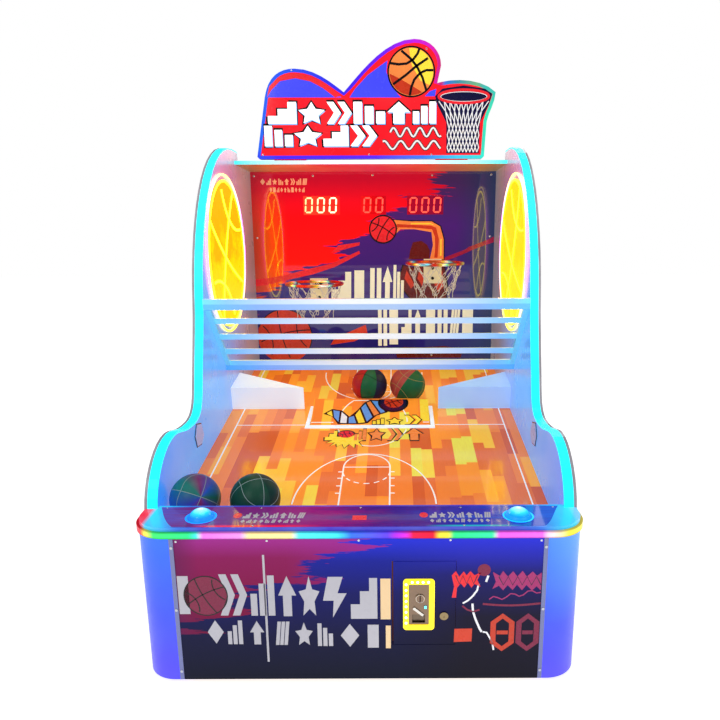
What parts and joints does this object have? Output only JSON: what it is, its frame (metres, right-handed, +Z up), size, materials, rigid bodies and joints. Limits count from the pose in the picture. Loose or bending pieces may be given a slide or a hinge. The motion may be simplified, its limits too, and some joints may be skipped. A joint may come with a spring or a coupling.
{
  "type": "basketball hoop machine",
  "caption": "Children's basketball hoop game cabinet with sloped court, pop-up ball gate, guard bars, netted hoops, lit score displays, coin door and shaped top sign.",
  "frame": {"origin": "on the floor under the middle of the footprint", "axes": "+Z up, the players stand on the -Y side, +X to their right"},
  "size_m": [1.262, 1.77, 2.038],
  "materials": {
    "side_board": "gloss printed film on board",
    "side_light": "diffused light tube",
    "disc_light": "lit translucent disc",
    "corner_plastic": "moulded, semi-gloss",
    "plain_board": "bare board",
    "foot_steel": "zinc plated",
    "front_print": "gloss printed film",
    "trim_metal": "satin",
    "screw_steel": "plated",
    "front_light": "diffused colour-changing light strip",
    "deck_print": "gloss printed sheet",
    "bezel_plastic": "polished ring",
    "button_plastic": "lit translucent dome",
    "court_print": "gloss printed court",
    "guide_paint": "smooth gloss",
    "gate_print": "gloss printed",
    "hinge_steel": "machined",
    "coil_steel": "satin",
    "guard_paint": "gloss",
    "back_print": "gloss printed back sheet",
    "rear_board": "textured black",
    "top_board": "satin",
    "top_light": "lit rail",
    "display_glass": "smoked",
    "marquee_print": "lit printed sign",
    "marquee_light": "lit border",
    "rim_steel": "polished",
    "plate_paint": "gloss cream",
    "net_chain": "bright chain",
    "sensor_plastic": "matte",
    "door_print": "gloss printed film",
    "coin_steel": "brushed",
    "coin_light": "lit frame",
    "lever_chrome": "polished",
    "box_steel": "satin grey",
    "inlet_plastic": "matte",
    "switch_plastic": "gloss red",
    "board_green": "circuit board",
    "speaker_black": "matte",
    "ball_multi": "pebbled, many-coloured",
    "ball_green": "pebbled",
    "ball_panels": "pebbled, panelled"
  },
  "bodies": {
    "cabinet": {"side_panel_left": "side_board", "side_panel_right": "side_board", "side_led_left": "side_light", "side_led_right": "side_light", "light_disc_left": "disc_light", "light_disc_right": "disc_light", "corner_post_left": "corner_plastic", "corner_post_right": "corner_plastic", "base_board": "plain_board", "feet": "foot_steel", "front_panel": "front_print", "front_trims": "trim_metal", "trim_screws": "screw_steel", "front_led_strip": "front_light", "control_deck": "deck_print", "button_bezels": "bezel_plastic", "court_floor": "court_print", "ball_guide_left": "guide_paint", "ball_guide_right": "guide_paint", "gate_frame": "guide_paint", "gate_hinge_blocks": "hinge_steel", "gate_solenoid": "coil_steel", "guard_frame": "guard_paint", "back_panel": "back_print", "rear_wall": "rear_board", "top_panel": "top_board", "top_rail": "top_light", "score_displays": "display_glass", "marquee_box": "marquee_print", "marquee_led": "marquee_light", "hoop_left_rim": "rim_steel", "hoop_right_rim": "rim_steel", "hoop_plates": "plate_paint", "hoop_bolts": "screw_steel", "net_left": "net_chain", "net_right": "net_chain", "score_sensors": "sensor_plastic", "cash_box": "box_steel", "hinge_pins": "hinge_steel", "power_inlet": "inlet_plastic", "power_supply": "box_steel", "control_board": "board_green", "speakers": "speaker_black"},
    "gate": {"gate_panel": "gate_print"},
    "plunger": {"gate_plunger": "hinge_steel"},
    "coin_door": {"coin_door": "door_print", "coin_plate": "coin_steel", "coin_light_frame": "coin_light"},
    "coin_flap": {"coin_return_flap": "coin_steel"},
    "reject_lever": {"reject_lever": "lever_chrome"},
    "door_lock": {"door_lock": "lever_chrome"},
    "rear_door": {"rear_door": "rear_board"},
    "rear_lock": {"rear_lock": "lever_chrome"},
    "power_switch": {"power_switch": "switch_plastic"},
    "start_button_left": {"start_button_left": "button_plastic"},
    "start_button_right": {"start_button_right": "button_plastic"},
    "ball_1": {"ball_1": "ball_multi"},
    "ball_2": {"ball_2": "ball_green"},
    "ball_3": {"ball_3": "ball_panels"},
    "ball_4": {"ball_4": "ball_panels"}
  },
  "joints": [
    {"name": "gate_hinge", "type": "hinge", "parent": "cabinet", "child": "gate", "pos_m": [0, 0.03825, 0.49602], "axis": [1, 0, 0], "range_deg": [-13, 0], "stiffness_Nm_per_rad": 8, "springref_deg": 22.92},
    {"name": "plunger_slide", "type": "slide", "parent": "cabinet", "child": "plunger", "axis": [0, -0.1392, 0.9903], "range_m": [-0.0255, 0]},
    {"name": "coin_door_hinge", "type": "hinge", "parent": "cabinet", "child": "coin_door", "pos_m": [0.0995, -0.873, 0.265], "axis": [0, 0, -1], "range_deg": [0, 105]},
    {"name": "coin_flap_swing", "type": "hinge", "parent": "coin_door", "child": "coin_flap", "pos_m": [0.164, -0.873, 0.2295], "axis": [1, 0, 0], "range_deg": [0, 50]},
    {"name": "reject_lever_turn", "type": "hinge", "parent": "coin_door", "child": "reject_lever", "pos_m": [0.152, -0.879, 0.251], "axis": [0, 1, 0], "range_deg": [0, 20], "stiffness_Nm_per_rad": 0.05, "springref_deg": -11.46},
    {"name": "door_lock_turn", "type": "hinge", "parent": "coin_door", "child": "door_lock", "pos_m": [0.235, -0.879, 0.227], "axis": [0, -1, 0], "range_deg": [0, 90]},
    {"name": "rear_door_hinge", "type": "hinge", "parent": "cabinet", "child": "rear_door", "pos_m": [0.25, 0.875, 0.275], "axis": [0, 0, -1], "range_deg": [0, 110]},
    {"name": "rear_lock_turn", "type": "hinge", "parent": "rear_door", "child": "rear_lock", "pos_m": [-0.215, 0.881, 0.275], "axis": [0, 1, 0], "range_deg": [0, 90]},
    {"name": "power_switch_rock", "type": "hinge", "parent": "cabinet", "child": "power_switch", "pos_m": [-0.42, 0.877, 0.171], "axis": [-1, 0, 0], "range_deg": [0, 20]},
    {"name": "start_button_left_press", "type": "slide", "parent": "cabinet", "child": "start_button_left", "axis": [0, 0, 1], "range_m": [-0.004, 0], "stiffness_N_per_m": 500, "springref_m": 0.004},
    {"name": "start_button_right_press", "type": "slide", "parent": "cabinet", "child": "start_button_right", "axis": [0, 0, 1], "range_m": [-0.004, 0], "stiffness_N_per_m": 500, "springref_m": 0.004},
    {"name": "ball_1_lift", "type": "slide", "parent": "cabinet", "child": "ball_1", "axis": [0, 0, 1], "range_m": [0, 0.4]},
    {"name": "ball_2_lift", "type": "slide", "parent": "cabinet", "child": "ball_2", "axis": [0, 0, 1], "range_m": [0, 0.4]},
    {"name": "ball_3_lift", "type": "slide", "parent": "cabinet", "child": "ball_3", "axis": [0, 0, 1], "range_m": [0, 0.4]},
    {"name": "ball_4_lift", "type": "slide", "parent": "cabinet", "child": "ball_4", "axis": [0, 0, 1], "range_m": [0, 0.4]}
  ],
  "couplings": [
    {"joint": "plunger_slide", "follows": "gate_hinge", "m_per_rad": 0.108}
  ]
}
